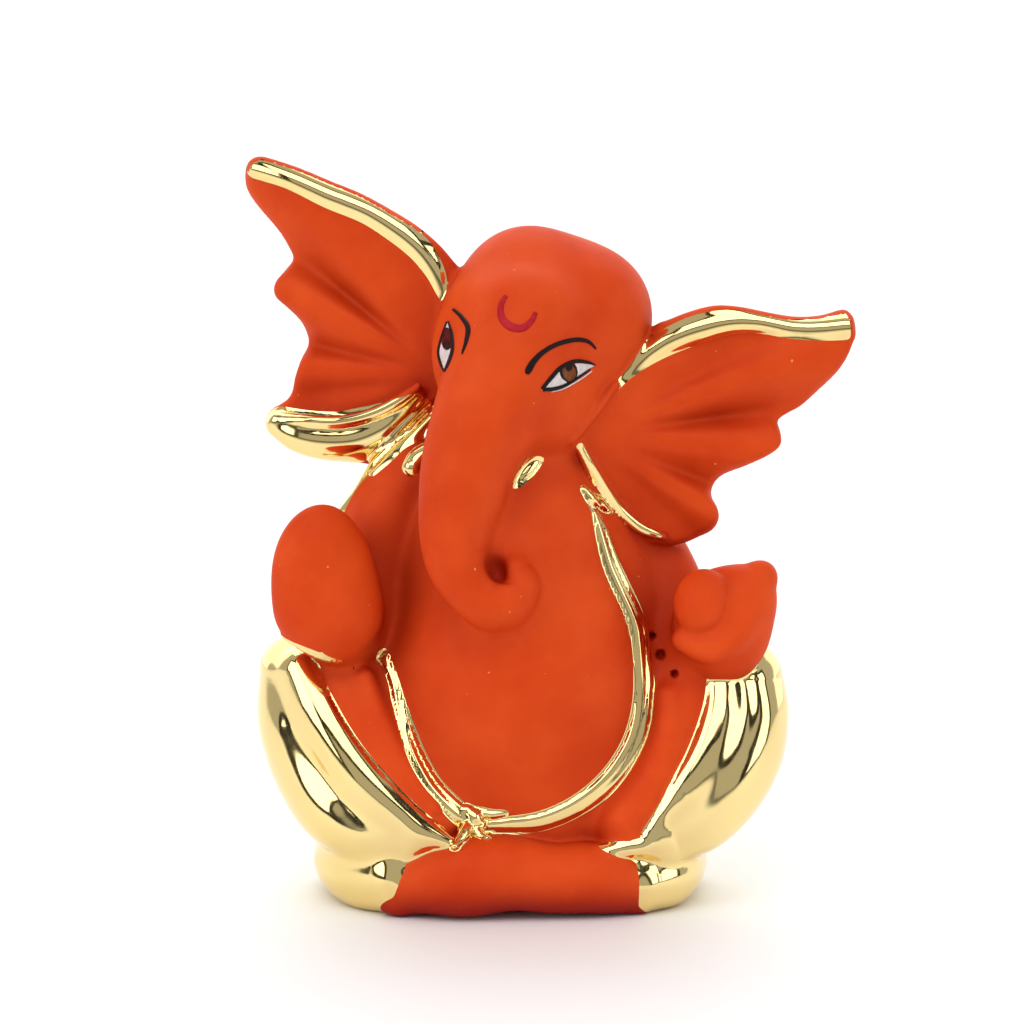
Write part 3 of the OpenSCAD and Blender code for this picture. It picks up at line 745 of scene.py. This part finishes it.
def sculpt():
    """Cells that the surface passes through, found on a coarse grid and then on a fine one, as one mesh.

    Each face parts two labels: 0 is the outside and each piece has its number in PIECES, from 1.
    """
    lo = np.array([-33.6, -23.5, -0.9])
    hi = np.array([43.2, 20.0, 90.6])
    big = STEP * RATIO
    nb = np.ceil((hi - lo) / big).astype(int)
    n = nb * RATIO + 1
    cb = np.stack(np.meshgrid(*[lo[i] + np.arange(nb[i] + 1) * big for i in range(3)], indexing="ij"), -1)
    shape_b = cb.shape[:3]
    flat = cb.reshape(-1, 3)
    Fb = np.empty(len(flat), np.float32)
    Lb = np.zeros(len(flat), np.int8)
    for s in range(0, len(flat), CHUNK):
        D, F = distances(flat[s : s + CHUNK])
        Fb[s : s + CHUNK] = F
        Lb[s : s + CHUNK] = np.where(F < 0, owners(flat[s : s + CHUNK], D).argmin(0) + 1, 0)
    Fb, Lb = Fb.reshape(shape_b), Lb.reshape(shape_b)

    def corners(a):
        l, m, n = (size - 1 for size in a.shape)
        return [a[i : l + i, j : m + j, k : n + k] for i in (0, 1) for j in (0, 1) for k in (0, 1)]

    def spread(a):
        return a.repeat(RATIO, 0).repeat(RATIO, 1).repeat(RATIO, 2)

    near = np.min([np.abs(c) for c in corners(Fb)], 0) < big * 1.35
    lc = corners(Lb)
    mixed = np.zeros(near.shape, bool)
    for c in lc[1:]:
        mixed |= c != lc[0]
    lab = np.pad(spread(lc[0]), ((0, 1),) * 3, "edge").astype(np.int8)
    todo = np.zeros(n, bool)
    fb = spread(near | mixed)
    for c in corners(todo):
        c |= fb
    idx = np.argwhere(todo)
    for s in range(0, len(idx), CHUNK):
        ii = idx[s : s + CHUNK]
        P = lo + ii * STEP
        D, F = distances(P)
        L = np.zeros(len(ii), np.int8)
        inside = F < 0
        L[inside] = owners(P[inside], D[:, inside]).argmin(0) + 1
        lab[ii[:, 0], ii[:, 1], ii[:, 2]] = L
    lab[0], lab[-1] = 0, 0
    lab[:, 0], lab[:, -1] = 0, 0
    lab[:, :, 0], lab[:, :, -1] = 0, 0

    c8 = corners(lab)
    active = np.zeros(c8[0].shape, bool)
    for c in c8[1:]:
        active |= c != c8[0]
    vid = np.full(active.shape, -1, np.int64)
    cells = np.argwhere(active)
    vid[active] = np.arange(len(cells))
    points = lo + (cells + 0.5) * STEP
    kinds = np.stack([c[active] for c in c8], 1)

    quads, low_side, high_side = [], [], []
    for axis in range(3):
        a = np.moveaxis(lab, axis, 0)
        vv = np.moveaxis(vid, axis, 0)
        lo_l, hi_l = a[:-1, 1:-1, 1:-1], a[1:, 1:-1, 1:-1]
        e = np.argwhere(lo_l != hi_l)
        i, j, k = e[:, 0], e[:, 1], e[:, 2]
        q = np.stack([vv[i, j, k], vv[i, j + 1, k], vv[i, j + 1, k + 1], vv[i, j, k + 1]], 1)
        if axis == 1:
            q = q[:, ::-1]
        quads.append(q)
        low_side.append(lo_l[i, j, k])
        high_side.append(hi_l[i, j, k])
    return points, kinds, np.concatenate(quads), np.concatenate(low_side), np.concatenate(high_side)


def slope(fn, P, eps):
    """The gradient of fn at each point."""
    out = np.empty((len(P), 3))
    for axis in range(3):
        step = np.zeros(3)
        step[axis] = eps
        out[:, axis] = (fn(P + step) - fn(P - step)) / (2 * eps)
    return out


def sides(quads):
    return np.concatenate([quads[:, [i, (i + 1) % 4]] for i in range(4)])


def settle(points, kinds, quads, low_side, high_side):
    """Moves the surface's points onto the true shape, and those between two pieces onto their border."""
    skin = (kinds == 0).any(1)
    labels = np.sort(kinds, 1)
    distinct = (np.diff(labels, axis=1) != 0).sum(1) + 1
    seam = skin & (distinct == 3)
    first = np.where(kinds == 0, 99, kinds).min(1)
    last = kinds.max(1)
    pair = np.where(seam, first.astype(int) * 100 + last, -1)

    outer = (low_side == 0) | (high_side == 0)
    q = quads[outer]
    edges = np.unique(np.sort(sides(q), 1), axis=0)
    free = ~seam & (distinct == 2) & skin
    along = edges[(pair[edges[:, 0]] == pair[edges[:, 1]]) & seam[edges[:, 0]] & seam[edges[:, 1]]]

    def relax(P, pairs, who, amount):
        total, count = np.zeros_like(P), np.zeros(len(P))
        for a, b in ((0, 1), (1, 0)):
            for axis in range(3):
                total[:, axis] += np.bincount(pairs[:, a], P[pairs[:, b], axis], len(P))
            count += np.bincount(pairs[:, a], minlength=len(P))
        ok = who & (count >= 2)
        P = P.copy()
        P[ok] += amount * (total[ok] / count[ok][:, None] - P[ok])
        return P

    skin_i = np.nonzero(skin)[0]
    P = points.copy()
    inner = quads[~outer]
    if len(inner):
        for _ in range(2):
            P = relax(P, sides(inner), ~skin, 0.5)

    def project(P, which, most):
        S = P[which]
        f = figure(S)
        g = slope(figure, S, 0.06)
        g2 = (g * g).sum(1) + 1e-6
        move = -(f / g2)[:, None] * g
        size = np.linalg.norm(move, axis=1)
        move *= np.minimum(1, most / np.maximum(size, 1e-9))[:, None]
        P[which] = S + move
        return P

    P = project(P, skin_i, 0.5)
    P = relax(P, edges, free, 0.6)
    P = project(P, skin_i, 0.4)
    for _ in range(2):
        P = relax(P, edges, free, 0.4)
    P = relax(P, along, seam, 0.5)
    P = project(P, skin_i, 0.4)

    seams = np.nonzero(seam)[0]
    a, b = first[seams] - 1, last[seams] - 1
    rows = np.arange(len(seams))

    def border(S):
        D, _ = distances(S)
        o = owners(S, D)
        return o[a, rows] - o[b, rows]

    for _ in range(3):
        S = P[seams]
        f, l = figure(S), border(S)
        gf, gl = slope(figure, S, 0.06), slope(border, S, 0.06)
        aa, bb, ab = (gf * gf).sum(1) + 1e-6, (gl * gl).sum(1) + 1e-6, (gf * gl).sum(1)
        det = aa * bb - ab * ab
        good = det > 0.05 * aa * bb
        det = np.where(good, det, 1)
        s = np.where(good, -(bb * f - ab * l) / det, -f / aa)
        t = np.where(good, -(aa * l - ab * f) / det, 0)
        move = s[:, None] * gf + t[:, None] * gl
        size = np.linalg.norm(move, axis=1)
        move *= np.minimum(1, 0.5 * STEP / np.maximum(size, 1e-9))[:, None]
        P[seams] = S + move
    for _ in range(3):
        P = relax(P, along, seam, 0.5)
    P = project(P, skin_i, 0.3)
    normal = np.zeros_like(P)
    g = slope(figure, P[skin_i], 0.08)
    normal[skin_i] = g / (np.linalg.norm(g, axis=1)[:, None] + 1e-9)
    return P, normal


def mesh_object(name, verts, faces, normals=None):
    """faces: an (n, 4) array. normals: one for each face corner, or None."""
    me = bpy.data.meshes.new(name)
    me.vertices.add(len(verts))
    me.vertices.foreach_set("co", (verts * MM).astype(np.float32).ravel())
    me.loops.add(faces.size)
    me.loops.foreach_set("vertex_index", faces.astype(np.int32).ravel())
    me.polygons.add(len(faces))
    me.polygons.foreach_set("loop_start", np.arange(0, faces.size, faces.shape[1], dtype=np.int32))
    me.polygons.foreach_set("loop_total", np.full(len(faces), faces.shape[1], np.int32))
    me.polygons.foreach_set("use_smooth", np.ones(len(faces), bool))
    me.update(calc_edges=True)
    me.validate()
    if normals is not None and len(me.loops) == len(normals):
        me.normals_split_custom_set(normals.tolist())
    o = bpy.data.objects.new(name, me)
    bpy.context.collection.objects.link(o)
    return o


# ---------------------------------------------------------------- materials


def new_material(name):
    m = bpy.data.materials.new(name)
    m.use_nodes = True
    t = m.node_tree
    t.nodes.clear()
    out = t.nodes.new("ShaderNodeOutputMaterial")
    bsdf = t.nodes.new("ShaderNodeBsdfPrincipled")
    t.links.new(bsdf.outputs[0], out.inputs[0])
    coord = t.nodes.new("ShaderNodeTexCoord")
    return m, t, bsdf, coord.outputs["Object"]


def noise(t, vector, scale, detail=3.0, rough=0.5):
    n = t.nodes.new("ShaderNodeTexNoise")
    n.inputs["Scale"].default_value = scale
    n.inputs["Detail"].default_value = detail
    n.inputs["Roughness"].default_value = rough
    t.links.new(vector, n.inputs["Vector"])
    return n.outputs["Fac"]


def ramp(t, fac, stops):
    r = t.nodes.new("ShaderNodeValToRGB")
    e = r.color_ramp.elements
    while len(e) < len(stops):
        e.new(0.5)
    for el, (pos, col) in zip(e, stops):
        el.position = pos
        el.color = (*col, 1) if len(col) == 3 else col
    t.links.new(fac, r.inputs[0])
    return r.outputs[0]


def bump(t, bsdf, height, strength, distance):
    b = t.nodes.new("ShaderNodeBump")
    b.inputs["Strength"].default_value = strength
    b.inputs["Distance"].default_value = distance
    t.links.new(height, b.inputs["Height"])
    t.links.new(b.outputs[0], bsdf.inputs["Normal"])


def orange_material():
    m, t, b, xyz = new_material("orange_paint")
    tone = ramp(t, noise(t, xyz, 90, 4, 0.55), [(0.3, (0.63, 0.046, 0.003)), (0.7, (0.77, 0.082, 0.010))])
    speck = noise(t, xyz, 900, 2, 0.6)
    worn = ramp(t, speck, [(0.0, (0, 0, 0)), (0.765, (0, 0, 0)), (0.785, (1, 1, 1))])
    mix = t.nodes.new("ShaderNodeMix")
    mix.data_type = "RGBA"
    t.links.new(worn, mix.inputs["Factor"])
    t.links.new(tone, mix.inputs[6])
    mix.inputs[7].default_value = (0.86, 0.34, 0.09, 1)
    # Painted shade: the paint's colour is mixed towards dark red where ambient occlusion finds creases and
    # recesses.
    hollow = t.nodes.new("ShaderNodeAmbientOcclusion")
    hollow.samples = 8
    hollow.inputs["Distance"].default_value = 0.008
    depth = ramp(t, hollow.outputs["AO"], [(0.2, (0, 0, 0)), (0.97, (1, 1, 1))])
    painted_crease_shade = t.nodes.new("ShaderNodeMix")
    painted_crease_shade.data_type = "RGBA"
    t.links.new(depth, painted_crease_shade.inputs["Factor"])
    painted_crease_shade.inputs[6].default_value = (0.30, 0.006, 0.0008, 1)
    t.links.new(mix.outputs[2], painted_crease_shade.inputs[7])
    t.links.new(painted_crease_shade.outputs[2], b.inputs["Base Color"])
    rough = ramp(t, noise(t, xyz, 260, 3, 0.6), [(0.3, (0.5,) * 3), (0.7, (0.62,) * 3)])
    t.links.new(rough, b.inputs["Roughness"])
    b.inputs["Specular IOR Level"].default_value = 0.12
    bump(t, b, noise(t, xyz, 700, 3, 0.6), 0.12, 0.0002)
    return m


def gold_material():
    m, t, b, xyz = new_material("gold_plate")
    tone = ramp(t, noise(t, xyz, 60, 2, 0.5), [(0.3, (0.86, 0.66, 0.27)), (0.7, (0.90, 0.71, 0.33))])
    t.links.new(tone, b.inputs["Base Color"])
    b.inputs["Metallic"].default_value = 1.0
    rough = ramp(t, noise(t, xyz, 300, 3, 0.6), [(0.35, (0.07,) * 3), (0.7, (0.12,) * 3)])
    t.links.new(rough, b.inputs["Roughness"])
    bump(t, b, noise(t, xyz, 140, 2, 0.5), 0.25, 0.0003)
    return m


def paint_material(name, low, high, roughness=0.4, scale=1500):
    m, t, b, xyz = new_material(name)
    tone = ramp(t, noise(t, xyz, scale, 3, 0.6), [(0.3, low), (0.7, high)])
    t.links.new(tone, b.inputs["Base Color"])
    b.inputs["Roughness"].default_value = roughness
    b.inputs["Specular IOR Level"].default_value = 0.15
    return m


def felt_material():
    m, t, b, xyz = new_material("base_felt")
    tone = ramp(t, noise(t, xyz, 2500, 4, 0.7), [(0.3, (0.07, 0.006, 0.008)), (0.7, (0.16, 0.014, 0.016))])
    t.links.new(tone, b.inputs["Base Color"])
    b.inputs["Roughness"].default_value = 0.95
    bump(t, b, noise(t, xyz, 3000, 3, 0.7), 0.5, 0.0003)
    return m


ORANGE, GOLD = orange_material(), gold_material()
WHITE = paint_material("eye_white", (0.62, 0.56, 0.55), (0.86, 0.80, 0.79))
BLACK = paint_material("line_black", (0.004, 0.002, 0.003), (0.016, 0.005, 0.005), 0.5)
BROWN = paint_material("iris_brown", (0.10, 0.028, 0.008), (0.24, 0.085, 0.025), 0.3)
MAROON = paint_material("iris_maroon", (0.035, 0.004, 0.004), (0.13, 0.012, 0.014), 0.3)
CRIMSON = paint_material("tilak_crimson", (0.36, 0.004, 0.012), (0.55, 0.014, 0.024), 0.5, 700)
FELT = felt_material()

# ---------------------------------------------------------------- the sculpted pieces

GOLD_PIECES = {
    "body_back", "head_back", "tusk_left", "tusk_right", "ear_left_back", "ear_left_top_rim",
    "ear_left_lower_rim", "ear_right_back", "ear_right_top_rim", "ear_right_lower_rim", "leg_left",
    "leg_right", "shin_left", "shin_right", "stole_left", "stole_right", "stole_knot", "shoulder_shawl",
}

points, kinds, quads, low_side, high_side = sculpt()
points, vertex_normal = settle(points, kinds, quads, low_side, high_side)
print("sculpt", len(points), len(quads))

for number, name in enumerate(PIECES, 1):
    a, b = low_side == number, high_side == number
    faces = np.concatenate([quads[a], quads[b][:, ::-1]])
    hidden = np.concatenate([high_side[a] != 0, low_side[b] != 0])
    used, back = np.unique(faces, return_inverse=True)
    verts, local = points[used], back.reshape(faces.shape)
    p = verts[local]
    face_normal = np.cross(p[:, 2] - p[:, 0], p[:, 3] - p[:, 1])
    face_normal /= np.linalg.norm(face_normal, axis=1)[:, None] + 1e-12
    corner = vertex_normal[used][local]
    corner[hidden] = face_normal[hidden][:, None]
    o = mesh_object(name + "_form", verts, local, corner.reshape(-1, 3))
    o.data.materials.append(GOLD if name in GOLD_PIECES else ORANGE)
    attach(o, "root")
    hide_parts(name)

# ---------------------------------------------------------------- paint on the face


def surface_points(h, v, first=-26.0, last=6.0):
    """Where the view from the front at (h, v) meets the figure, and the surface's direction there."""
    h, v = np.asarray(h, float), np.asarray(v, float)
    shape = h.shape
    h, v = h.ravel(), v.ravel()
    near = np.full(len(h), first)
    done = np.zeros(len(h), bool)
    far = near.copy()
    for y in np.arange(first, last, 0.4):
        live = ~done
        if not live.any():
            break
        f = figure(seen_all(h[live], v[live], np.full(live.sum(), y)))
        hit = f < 0
        i = np.nonzero(live)[0]
        far[i] = y
        near[i[~hit]] = y
        done[i[hit]] = True
    for _ in range(14):
        mid = (near + far) / 2
        hit = figure(seen_all(h, v, mid)) < 0
        far = np.where(hit, mid, far)
        near = np.where(hit, near, mid)
    P = seen_all(h, v, near)
    n = slope(figure, P, 0.3)
    n /= np.linalg.norm(n, axis=1)[:, None] + 1e-9
    return P.reshape(*shape, 3), n.reshape(*shape, 3)


def patch(name, H, V, lift, material, slot, node=None):
    """A closed coat of paint over a grid of points seen from the front."""
    P, N = surface_points(H, V)
    edge = np.ones(H.shape)
    edge[0, :] = edge[-1, :] = edge[:, 0] = edge[:, -1] = 0.35
    top = P + N * (lift * edge)[..., None]
    under = P - N * 0.06
    m, n = H.shape
    idx = np.arange(m * n).reshape(m, n)
    a = np.stack([idx[:-1, :-1], idx[1:, :-1], idx[1:, 1:], idx[:-1, 1:]], -1).reshape(-1, 4)
    low = a[:, ::-1] + m * n
    loop = np.concatenate([idx[:, 0], idx[-1, 1:], idx[-2::-1, -1], idx[0, -2:0:-1]])
    nxt = np.roll(loop, -1)
    side = np.stack([loop, loop + m * n, nxt + m * n, nxt], 1)
    faces = np.concatenate([a, low, side])
    verts = np.concatenate([top.reshape(-1, 3), under.reshape(-1, 3)])
    p = verts[a]
    if (np.cross(p[:, 1] - p[:, 0], p[:, 2] - p[:, 0]).sum(0) @ N.reshape(-1, 3).sum(0)) < 0:
        faces = faces[:, ::-1]
    o = mesh_object(name, verts, faces)
    o.data.materials.append(material)
    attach(o, "root")
    if node:
        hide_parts(node)
    return o


def stroke(name, line, material, slot, lift, node):
    """A brush stroke: rows of (h, v, half-width)."""
    p = curve_points(line, 8)
    d = np.gradient(p[:, :2], axis=0)
    d /= np.linalg.norm(d, axis=1)[:, None] + 1e-9
    side = np.stack([-d[:, 1], d[:, 0]], 1)
    s = np.linspace(-1, 1, 7)
    H = p[:, None, 0] + side[:, None, 0] * p[:, None, 2] * s
    V = p[:, None, 1] + side[:, None, 1] * p[:, None, 2] * s
    return patch(name, H, V, lift, material, slot, node)


def lens(upper, lower, n=26, m=9):
    """Grid between two lines of (h, v) that meet at both ends."""
    u, l = curve_points(upper, 12), curve_points(lower, 12)

    def even(c):
        s = np.append(0, np.cumsum(np.linalg.norm(np.diff(c, axis=0), axis=1)))
        s /= s[-1]
        t = 0.5 - 0.5 * np.cos(np.linspace(0.06, math.pi - 0.06, n))
        return np.stack([np.interp(t, s, c[:, i]) for i in (0, 1)], 1)

    a, b = even(l), even(u)
    t = np.linspace(0.03, 0.97, m)
    g = a[:, None] + (b - a)[:, None] * t[None, :, None]
    return g[..., 0], g[..., 1]


def cut_oval(h, v, a, b, upper, lower, tilt=0.0, n=15, m=9):
    """Grid of an oval, cut off by the lids' lines, as columns across it."""
    u, l = curve_points(upper, 12), curve_points(lower, 12)
    t = np.sin(np.linspace(-1.45, 1.45, n))
    c, s = math.cos(math.radians(tilt)), math.sin(math.radians(tilt))
    g = []
    for q in t:
        r = math.sqrt(max(1 - q * q, 0.003))
        g.append([(h + c * a * q - s * b * w, v + s * a * q + c * b * w) for w in (-r, r)])
    g = np.array(g)

    axis = int(abs(u[-1, 0] - u[0, 0]) < abs(u[-1, 1] - u[0, 1]))
    lids = [c[np.argsort(c[:, axis])] for c in (u, l)]

    def clamp(p):
        ends = [np.interp(p[axis], c[:, axis], c[:, 1 - axis]) for c in lids]
        p[1 - axis] = min(max(p[1 - axis], min(ends)), max(ends))
        return p

    s2 = np.linspace(0, 1, m)
    H, V = np.empty((n, m)), np.empty((n, m))
    for i in range(n):
        for j, w in enumerate(s2):
            H[i, j], V[i, j] = clamp(g[i, 0] * (1 - w) + g[i, 1] * w)
    return H, V


upper_l = [(3.8, 60.1), (4.8, 61.35), (5.9, 62.5), (7.5, 63.2), (9.0, 63.1), (9.9, 62.8)]
lower_l = [(3.8, 60.1), (5.3, 60.2), (6.7, 60.7), (8.1, 61.6), (9.2, 62.35), (9.9, 62.8)]
patch("eye_left_white", *lens(upper_l, lower_l), 0.05, WHITE, "eye_paint", "eye_left")
patch("eye_left_ring", *cut_oval(6.75, 62.1, 1.1, 1.4, upper_l, lower_l, 12), 0.08, BLACK, "eye_paint")
patch("eye_left_iris", *cut_oval(6.8, 62.0, 0.8, 1.2, upper_l, lower_l, 12), 0.11, BROWN, "eye_paint")
patch("eye_left_pupil", *cut_oval(6.75, 62.7, 0.42, 0.7, upper_l, lower_l), 0.14, BLACK, "eye_paint")

upper_r = [(-8.1, 62.2), (-7.6, 63.2), (-7.15, 64.7), (-7.15, 66.5), (-7.7, 68.0)]
lower_r = [(-8.1, 62.2), (-8.5, 62.9), (-8.85, 64.4), (-8.5, 66.2), (-7.7, 68.0)]
patch("eye_right_white", *lens(upper_r, lower_r), 0.05, WHITE, "eye_paint", "eye_right")
patch("eye_right_iris", *cut_oval(-7.8, 66.0, 0.66, 1.5, upper_r, lower_r), 0.09, MAROON, "eye_paint")
patch("eye_right_pupil", *cut_oval(-7.72, 65.3, 0.5, 0.62, upper_r, lower_r), 0.12, BLACK, "eye_paint")

# Brush strokes: (name, paint, lift, rows of (h, v, half-width)). Each *_stroke is the whole of its node.
STROKES = [
    ("eye_left_upper_lid", BLACK, 0.15, [
        (3.6, 60.0, 0.2), (4.75, 61.4, 0.24), (5.85, 62.55, 0.24), (7.5, 63.3, 0.25), (9.0, 63.2, 0.2),
        (10.0, 62.85, 0.06),
    ]),
    ("eye_left_lower_lid", BLACK, 0.15, [
        (3.7, 59.95, 0.25), (5.2, 60.05, 0.22), (6.7, 60.6, 0.16), (8.1, 61.5, 0.11),
        (9.4, 62.45, 0.06),
    ]),
    ("eye_left_highlight", WHITE, 0.12, [
        (4.7, 59.65, 0.04), (5.9, 59.95, 0.08), (7.2, 60.6, 0.09), (8.5, 61.4, 0.08),
        (9.6, 62.2, 0.04),
    ]),
    ("brow_left_stroke", BLACK, 0.12, [
        (1.8, 61.8, 0.22), (2.0, 62.3, 0.4), (2.6, 63.3, 0.36), (3.7, 64.4, 0.29), (5.5, 65.4, 0.27),
        (7.6, 65.9, 0.27), (9.1, 65.7, 0.22), (10.1, 64.8, 0.1),
    ]),
    ("eye_right_inner_lid", BLACK, 0.14, [
        (-7.65, 68.15, 0.06), (-7.2, 66.5, 0.17), (-7.15, 64.7, 0.19), (-7.6, 63.2, 0.17),
        (-8.1, 62.1, 0.08),
    ]),
    ("eye_right_outer_lid", BLACK, 0.14, [
        (-7.75, 68.1, 0.08), (-8.4, 66.2, 0.13), (-8.8, 64.4, 0.14), (-8.45, 62.9, 0.15),
        (-8.1, 62.1, 0.1),
    ]),
    ("brow_right_stroke", BLACK, 0.12, [
        (-7.1, 69.6, 0.16), (-6.1, 68.7, 0.24), (-5.3, 67.4, 0.3), (-5.45, 65.9, 0.24),
        (-6.0, 64.2, 0.08),
    ]),
    ("tilak_stroke", CRIMSON, 0.1, [
        (-0.7, 71.2, 0.24), (-1.3, 70.1, 0.34), (-1.25, 68.6, 0.44), (-0.2, 67.5, 0.5),
        (1.2, 67.3, 0.44), (2.3, 68.1, 0.36), (2.85, 69.2, 0.24),
    ]),
]
for name, paint, lift, line in STROKES:
    node = name.removesuffix("_stroke") if name.endswith("_stroke") else None
    stroke(name, line, paint, name.split("_")[0] + "_paint", lift, node)

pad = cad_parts["base_pad"]
pad.data.materials.clear()
pad.data.materials.append(FELT)

# ---------------------------------------------------------------- floor, light and camera

scene = bpy.context.scene
scene.view_settings.view_transform = "Standard"

bpy.ops.mesh.primitive_plane_add(size=4, location=(0, 0, 0))
floor = bpy.context.object
floor.name = "floor"
fm, ft, fb, fxyz = new_material("floor_with_painted_shade")
# Painted shade: the floor's colour fades from white at 0.12 m in front to dark grey at 0.32 m, beyond the
# camera's view, so the gold reflects a darker floor.
split = ft.nodes.new("ShaderNodeSeparateXYZ")
ft.links.new(fxyz, split.inputs[0])
span = ft.nodes.new("ShaderNodeMapRange")
span.inputs["From Min"].default_value, span.inputs["From Max"].default_value = -0.32, -0.12
ft.links.new(split.outputs["Y"], span.inputs["Value"])
tone = ramp(ft, span.outputs[0], [(0.0, (0.10, 0.10, 0.10)), (1.0, (0.98, 0.98, 0.98))])
ft.links.new(tone, fb.inputs["Base Color"])
fb.inputs["Roughness"].default_value = 0.6
floor.data.materials.append(fm)

world = bpy.data.worlds.new("studio")
scene.world = world
world.use_nodes = True
world.node_tree.nodes["Background"].inputs["Color"].default_value = (0.5, 0.5, 0.5, 1)


def softbox(name, place, size, radiance, aim=(0, 0, 0.045)):
    data = bpy.data.lights.new(name, "AREA")
    data.shape = "RECTANGLE"
    data.size, data.size_y = size
    data.energy = radiance * math.pi * size[0] * size[1]
    o = bpy.data.objects.new(name, data)
    bpy.context.collection.objects.link(o)
    o.location = place
    o.rotation_euler = (Vector(aim) - Vector(place)).to_track_quat("-Z", "Y").to_euler()


def card(name, place, size, tone, glow, aim=(0, 0, 0.045)):
    """A flat panel that faces the figure: a dark flag, or the lit backdrop."""
    bpy.ops.mesh.primitive_plane_add(size=1)
    o = bpy.context.object
    o.name = name
    o.location = place
    o.scale = (*size, 1)
    o.rotation_euler = (Vector(aim) - Vector(place)).to_track_quat("Z", "Y").to_euler()
    m, t, b, xyz = new_material(name)
    t.links.new(ramp(t, noise(t, xyz, 1, 1), [(0.3, tone), (0.7, tone)]), b.inputs["Base Color"])
    b.inputs["Emission Color"].default_value = (1, 1, 1, 1)
    b.inputs["Emission Strength"].default_value = glow
    b.inputs["Roughness"].default_value = 1
    b.inputs["Specular IOR Level"].default_value = 0
    o.data.materials.append(m)


for name, place, size, radiance in (
    ("key_left", (-0.85, -0.55, 0.5), (0.7, 0.8), 2.5),
    ("fill_right", (0.9, -0.4, 0.42), (0.5, 0.8), 2.1),
    ("top_front", (0.0, -0.6, 0.85), (1.0, 0.7), 2.3),
    ("top_back", (0.0, 0.45, 0.8), (0.9, 0.5), 1.5),
):
    softbox(name, place, size, radiance)
    if name != "top_back":
        # Each dark surround also glows faintly, at 0.02: painted light, as it is no lamp.
        far = [1.04 * c for c in place]
        card(name + "_surround", far, (size[0] + 0.34, size[1] + 0.34), (0.01, 0.01, 0.01), 0.02)
card("backdrop", (0, 1.6, 0.6), (5, 3), (0.8, 0.8, 0.8), 1.0, (0, 0, 0.6))

camera_data = bpy.data.cameras.new("camera")
camera_data.lens = 175.8
camera_data.sensor_width = 36
camera = bpy.data.objects.new("camera", camera_data)
bpy.context.collection.objects.link(camera)
camera.location = EYE * MM
camera.rotation_euler = (Vector(AIM * MM) - Vector(EYE * MM)).to_track_quat("-Z", "Y").to_euler()
scene.camera = camera
